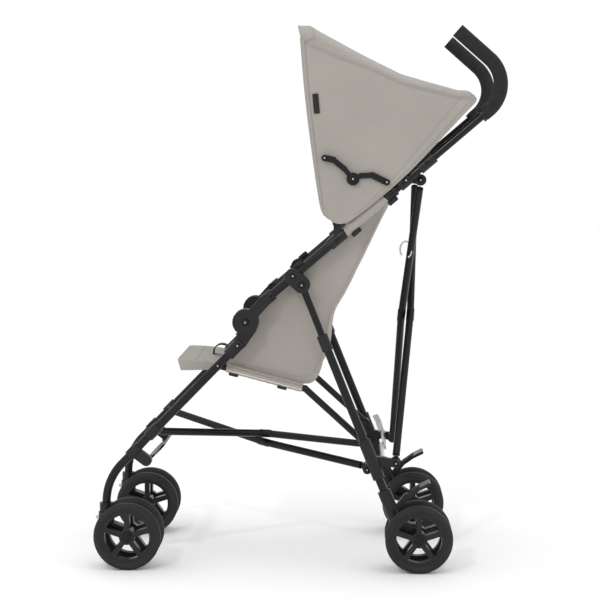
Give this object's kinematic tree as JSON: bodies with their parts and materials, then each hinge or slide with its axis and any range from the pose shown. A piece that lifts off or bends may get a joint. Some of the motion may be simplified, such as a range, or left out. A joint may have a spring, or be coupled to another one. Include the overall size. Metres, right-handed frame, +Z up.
{
  "type": "umbrella-fold stroller",
  "caption": "Lightweight umbrella-fold stroller: slanted push tubes with curved handles, sling seat, hood on stays, crossed rear tubes and twin wheels at every corner.",
  "frame": {"origin": "on the floor, centred under the bounding box", "axes": "front of the stroller faces -Y, the child's left is +X, +Z is up"},
  "size_m": [0.486, 0.777, 1.03],
  "materials": {
    "frame": "satin charcoal-black powder coat",
    "moulding": "fine-grained black plastic",
    "grip_foam": "soft black foam",
    "tyre": "matt near-black foam tyre",
    "rim": "black moulded wheel",
    "steel": "light grey metal latch and link",
    "bolt_black": "glossy black rivet heads",
    "cloth_grey": "warm grey-taupe polyester weave",
    "webbing": "black ribbed webbing",
    "piping": "cream piping",
    "buckle": "black moulded buckle"
  },
  "bodies": {
    "left_push": {"left_push_tube": "frame", "left_grip": "grip_foam", "left_hinge_upper": "moulding", "left_tube_fittings": "moulding", "left_side_panel": "cloth_grey", "canopy": "cloth_grey"},
    "left_front_frame": {"left_front_leg": "frame", "left_leg_fittings": "moulding"},
    "left_caster": {"left_caster_housing": "moulding"},
    "left_lock": {"left_swivel_lock": "steel"},
    "left_front_wheels": {"left_front_tyres": "tyre", "left_front_rims": "rim"},
    "left_rear_frame": {"left_rear_leg": "frame", "left_rear_bracket": "moulding", "left_rear_hub": "moulding"},
    "left_rear_wheels": {"left_rear_tyres": "tyre", "left_rear_rims": "rim"},
    "left_pedal": {"left_brake_pedal": "moulding"},
    "left_rail": {"left_seat_rail": "frame", "seat_base": "cloth_grey"},
    "left_yoke_link": {"left_yoke": "moulding"},
    "left_rear_ball": {"left_rear_knuckle": "moulding"},
    "left_low_ball": {"left_low_knuckle": "moulding"},
    "left_rear_tube": {"rear_cross_left": "frame"},
    "left_low_tube": {"low_cross_left": "frame"},
    "left_brace": {"left_brace_link": "steel"},
    "left_foot": {"left_footrest": "moulding"},
    "left_bow": {"left_bow_arm": "frame", "canopy_bow": "frame"},
    "left_front_stay": {"left_stay_front": "frame"},
    "left_rear_stay": {"left_stay_rear": "frame"},
    "right_push": {"right_push_tube": "frame", "right_grip": "grip_foam", "right_hinge_upper": "moulding", "right_tube_fittings": "moulding", "right_side_panel": "cloth_grey"},
    "right_front_frame": {"right_front_leg": "frame", "right_leg_fittings": "moulding"},
    "right_caster": {"right_caster_housing": "moulding"},
    "right_lock": {"right_swivel_lock": "steel"},
    "right_front_wheels": {"right_front_tyres": "tyre", "right_front_rims": "rim"},
    "right_rear_frame": {"right_rear_leg": "frame", "right_rear_bracket": "moulding", "right_rear_hub": "moulding"},
    "right_rear_wheels": {"right_rear_tyres": "tyre", "right_rear_rims": "rim"},
    "right_pedal": {"right_brake_pedal": "moulding"},
    "right_rail": {"right_seat_rail": "frame"},
    "right_yoke_link": {"right_yoke": "moulding"},
    "right_rear_ball": {"right_rear_knuckle": "moulding"},
    "right_low_ball": {"right_low_knuckle": "moulding"},
    "right_rear_tube": {"rear_cross_right": "frame"},
    "right_low_tube": {"low_cross_right": "frame"},
    "right_brace": {"right_brace_link": "steel"},
    "right_foot": {"right_footrest": "moulding"},
    "right_bow": {"right_bow_arm": "frame"},
    "right_front_stay": {"right_stay_front": "frame"},
    "right_rear_stay": {"right_stay_rear": "frame"},
    "back_sling": {"seat_back": "cloth_grey"}
  },
  "joints": [
    {"name": "fold", "type": "hinge", "parent": "left_push", "child": "left_front_frame", "pos_m": [0.18, -0.102, 0.468], "axis": [-1, 0, 0], "range_deg": [0, 165], "deforming": ["seat_back", "seat_base", "left_side_panel", "right_side_panel", "canopy", "canopy_bow"]},
    {"name": "width_slide", "type": "slide", "parent": "left_push", "child": "right_push", "axis": [1, 0, 0], "range_m": [0, 0.26]},
    {"name": "right_fold", "type": "hinge", "parent": "right_push", "child": "right_front_frame", "pos_m": [-0.18, -0.102, 0.468], "axis": [-1, 0, 0], "range_deg": [0, 165]},
    {"name": "back_swing", "type": "hinge", "parent": "left_push", "child": "back_sling", "pos_m": [0, 0.178, 0.716], "axis": [-1, 0, 0], "range_deg": [0, 22]},
    {"name": "left_rear_leg_fold", "type": "hinge", "parent": "left_push", "child": "left_rear_frame", "pos_m": [0.18, 0.004, 0.538], "axis": [-1, 0, 0], "range_deg": [0, 55.67]},
    {"name": "left_rail_fold", "type": "hinge", "parent": "left_rear_frame", "child": "left_rail", "pos_m": [0.158, 0.126, 0.233], "axis": [-1, 0, 0], "range_deg": [0, 25.65]},
    {"name": "left_yoke_fold", "type": "hinge", "parent": "left_push", "child": "left_yoke_link", "pos_m": [0.164, 0.197, 0.74], "axis": [-1, 0, 0], "range_deg": [0, 115.1]},
    {"name": "left_rear_ball_fold", "type": "hinge", "parent": "left_rear_frame", "child": "left_rear_ball", "pos_m": [0.164, 0.182, 0.2], "axis": [-1, 0, 0], "range_deg": [-25.92, 0]},
    {"name": "left_low_ball_fold", "type": "hinge", "parent": "left_rear_frame", "child": "left_low_ball", "pos_m": [0.15, 0.128, 0.188], "axis": [-1, 0, 0], "range_deg": [0, 50.25]},
    {"name": "left_rear_scissor", "type": "hinge", "parent": "left_rear_ball", "child": "left_rear_tube", "pos_m": [0.164, 0.182, 0.2], "axis": [0, 0.9965, -0.0838], "range_deg": [0, 25.2]},
    {"name": "left_low_scissor", "type": "hinge", "parent": "left_low_ball", "child": "left_low_tube", "pos_m": [0.15, 0.128, 0.188], "axis": [0, 0.1652, 0.9863], "range_deg": [0, 31.5]},
    {"name": "left_brace_fold", "type": "hinge", "parent": "left_rear_frame", "child": "left_brace", "pos_m": [0.162, 0.158, 0.205], "axis": [0, 0.9284, 0.3716], "range_deg": [0, 78.61]},
    {"name": "left_footrest_fold", "type": "hinge", "parent": "left_front_frame", "child": "left_foot", "pos_m": [0.15, -0.28841, 0.20062], "axis": [0, 0.7157, -0.6984], "range_deg": [0, 82]},
    {"name": "left_canopy_fold", "type": "hinge", "parent": "left_push", "child": "left_bow", "pos_m": [0.19, 0.07, 0.655], "axis": [-1, 0, 0], "range_deg": [0, 45]},
    {"name": "left_rear_stay_fold", "type": "hinge", "parent": "left_push", "child": "left_rear_stay", "pos_m": [0.198, 0.163, 0.731], "axis": [-1, 0, 0], "range_deg": [-31.5, 0]},
    {"name": "left_front_stay_fold", "type": "hinge", "parent": "left_bow", "child": "left_front_stay", "pos_m": [0.202, 0.047, 0.776], "axis": [-1, 0, 0], "range_deg": [0, 44.5]},
    {"name": "left_caster_swivel", "type": "hinge", "parent": "left_front_frame", "child": "left_caster", "pos_m": [0.18, -0.368, 0.1], "axis": [0, 0, 1], "continuous": true},
    {"name": "left_front_spin", "type": "hinge", "parent": "left_caster", "child": "left_front_wheels", "pos_m": [0.18, -0.325, 0.0635], "axis": [1, 0, 0], "continuous": true},
    {"name": "left_rear_spin", "type": "hinge", "parent": "left_rear_frame", "child": "left_rear_wheels", "pos_m": [0.198, 0.225, 0.0635], "axis": [1, 0, 0], "continuous": true},
    {"name": "left_swivel_lock_turn", "type": "hinge", "parent": "left_caster", "child": "left_lock", "pos_m": [0.18, -0.3795, 0.092], "axis": [-1, 0, 0], "range_deg": [0, 20]},
    {"name": "left_brake_press", "type": "hinge", "parent": "left_rear_frame", "child": "left_pedal", "pos_m": [0.198, 0.202, 0.14], "axis": [-1, 0, 0], "range_deg": [0, 20]},
    {"name": "right_rear_leg_fold", "type": "hinge", "parent": "right_push", "child": "right_rear_frame", "pos_m": [-0.18, 0.004, 0.538], "axis": [-1, 0, 0], "range_deg": [0, 55.67]},
    {"name": "right_rail_fold", "type": "hinge", "parent": "right_rear_frame", "child": "right_rail", "pos_m": [-0.158, 0.126, 0.233], "axis": [-1, 0, 0], "range_deg": [0, 25.65]},
    {"name": "right_yoke_fold", "type": "hinge", "parent": "right_push", "child": "right_yoke_link", "pos_m": [-0.164, 0.197, 0.74], "axis": [-1, 0, 0], "range_deg": [0, 115.1]},
    {"name": "right_rear_ball_fold", "type": "hinge", "parent": "right_rear_frame", "child": "right_rear_ball", "pos_m": [-0.164, 0.182, 0.2], "axis": [-1, 0, 0], "range_deg": [-25.92, 0]},
    {"name": "right_low_ball_fold", "type": "hinge", "parent": "right_rear_frame", "child": "right_low_ball", "pos_m": [-0.15, 0.128, 0.188], "axis": [-1, 0, 0], "range_deg": [0, 50.25]},
    {"name": "right_rear_scissor", "type": "hinge", "parent": "right_rear_ball", "child": "right_rear_tube", "pos_m": [-0.164, 0.182, 0.2], "axis": [0, -0.9965, 0.0838], "range_deg": [0, 25.2]},
    {"name": "right_low_scissor", "type": "hinge", "parent": "right_low_ball", "child": "right_low_tube", "pos_m": [-0.15, 0.128, 0.188], "axis": [0, -0.1652, -0.9863], "range_deg": [0, 31.5]},
    {"name": "right_brace_fold", "type": "hinge", "parent": "right_rear_frame", "child": "right_brace", "pos_m": [-0.162, 0.16264, 0.20686], "axis": [0, -0.9284, -0.3716], "range_deg": [0, 78.61]},
    {"name": "right_footrest_fold", "type": "hinge", "parent": "right_front_frame", "child": "right_foot", "pos_m": [-0.15, -0.28483, 0.19713], "axis": [0, -0.7157, 0.6984], "range_deg": [0, 82]},
    {"name": "right_canopy_fold", "type": "hinge", "parent": "right_push", "child": "right_bow", "pos_m": [-0.19, 0.07, 0.655], "axis": [-1, 0, 0], "range_deg": [0, 45]},
    {"name": "right_rear_stay_fold", "type": "hinge", "parent": "right_push", "child": "right_rear_stay", "pos_m": [-0.198, 0.163, 0.731], "axis": [-1, 0, 0], "range_deg": [-31.5, 0]},
    {"name": "right_front_stay_fold", "type": "hinge", "parent": "right_bow", "child": "right_front_stay", "pos_m": [-0.202, 0.047, 0.776], "axis": [-1, 0, 0], "range_deg": [0, 44.5]},
    {"name": "right_caster_swivel", "type": "hinge", "parent": "right_front_frame", "child": "right_caster", "pos_m": [-0.18, -0.368, 0.1], "axis": [0, 0, 1], "continuous": true},
    {"name": "right_front_spin", "type": "hinge", "parent": "right_caster", "child": "right_front_wheels", "pos_m": [-0.18, -0.325, 0.0635], "axis": [1, 0, 0], "continuous": true},
    {"name": "right_rear_spin", "type": "hinge", "parent": "right_rear_frame", "child": "right_rear_wheels", "pos_m": [-0.198, 0.225, 0.0635], "axis": [1, 0, 0], "continuous": true},
    {"name": "right_swivel_lock_turn", "type": "hinge", "parent": "right_caster", "child": "right_lock", "pos_m": [-0.18, -0.3795, 0.092], "axis": [-1, 0, 0], "range_deg": [0, 20]},
    {"name": "right_brake_press", "type": "hinge", "parent": "right_rear_frame", "child": "right_pedal", "pos_m": [-0.198, 0.202, 0.14], "axis": [-1, 0, 0], "range_deg": [0, 20]}
  ],
  "couplings": [
    {"joint": "width_slide", "follows": "fold", "m_per_rad": 0.090284},
    {"joint": "right_fold", "follows": "fold", "ratio": 1},
    {"joint": "back_swing", "follows": "fold", "ratio": 0.13333},
    {"joint": "left_rear_leg_fold", "follows": "fold", "ratio": 0.33739},
    {"joint": "left_rail_fold", "follows": "fold", "ratio": 0.15546},
    {"joint": "left_yoke_fold", "follows": "fold", "ratio": 0.69758},
    {"joint": "left_rear_ball_fold", "follows": "fold", "ratio": -0.15709},
    {"joint": "left_low_ball_fold", "follows": "fold", "ratio": 0.30455},
    {"joint": "left_rear_scissor", "follows": "fold", "ratio": 0.15273},
    {"joint": "left_low_scissor", "follows": "fold", "ratio": 0.19091},
    {"joint": "left_brace_fold", "follows": "fold", "ratio": 0.47642},
    {"joint": "left_footrest_fold", "follows": "fold", "ratio": 0.49697},
    {"joint": "left_canopy_fold", "follows": "fold", "ratio": 0.27273},
    {"joint": "left_rear_stay_fold", "follows": "fold", "ratio": -0.19091},
    {"joint": "left_front_stay_fold", "follows": "fold", "ratio": 0.2697},
    {"joint": "right_rear_leg_fold", "follows": "fold", "ratio": 0.33739},
    {"joint": "right_rail_fold", "follows": "fold", "ratio": 0.15546},
    {"joint": "right_yoke_fold", "follows": "fold", "ratio": 0.69758},
    {"joint": "right_rear_ball_fold", "follows": "fold", "ratio": -0.15709},
    {"joint": "right_low_ball_fold", "follows": "fold", "ratio": 0.30455},
    {"joint": "right_rear_scissor", "follows": "fold", "ratio": 0.15273},
    {"joint": "right_low_scissor", "follows": "fold", "ratio": 0.19091},
    {"joint": "right_brace_fold", "follows": "fold", "ratio": 0.47642},
    {"joint": "right_footrest_fold", "follows": "fold", "ratio": 0.49697},
    {"joint": "right_canopy_fold", "follows": "fold", "ratio": 0.27273},
    {"joint": "right_rear_stay_fold", "follows": "fold", "ratio": -0.19091},
    {"joint": "right_front_stay_fold", "follows": "fold", "ratio": 0.2697}
  ]
}
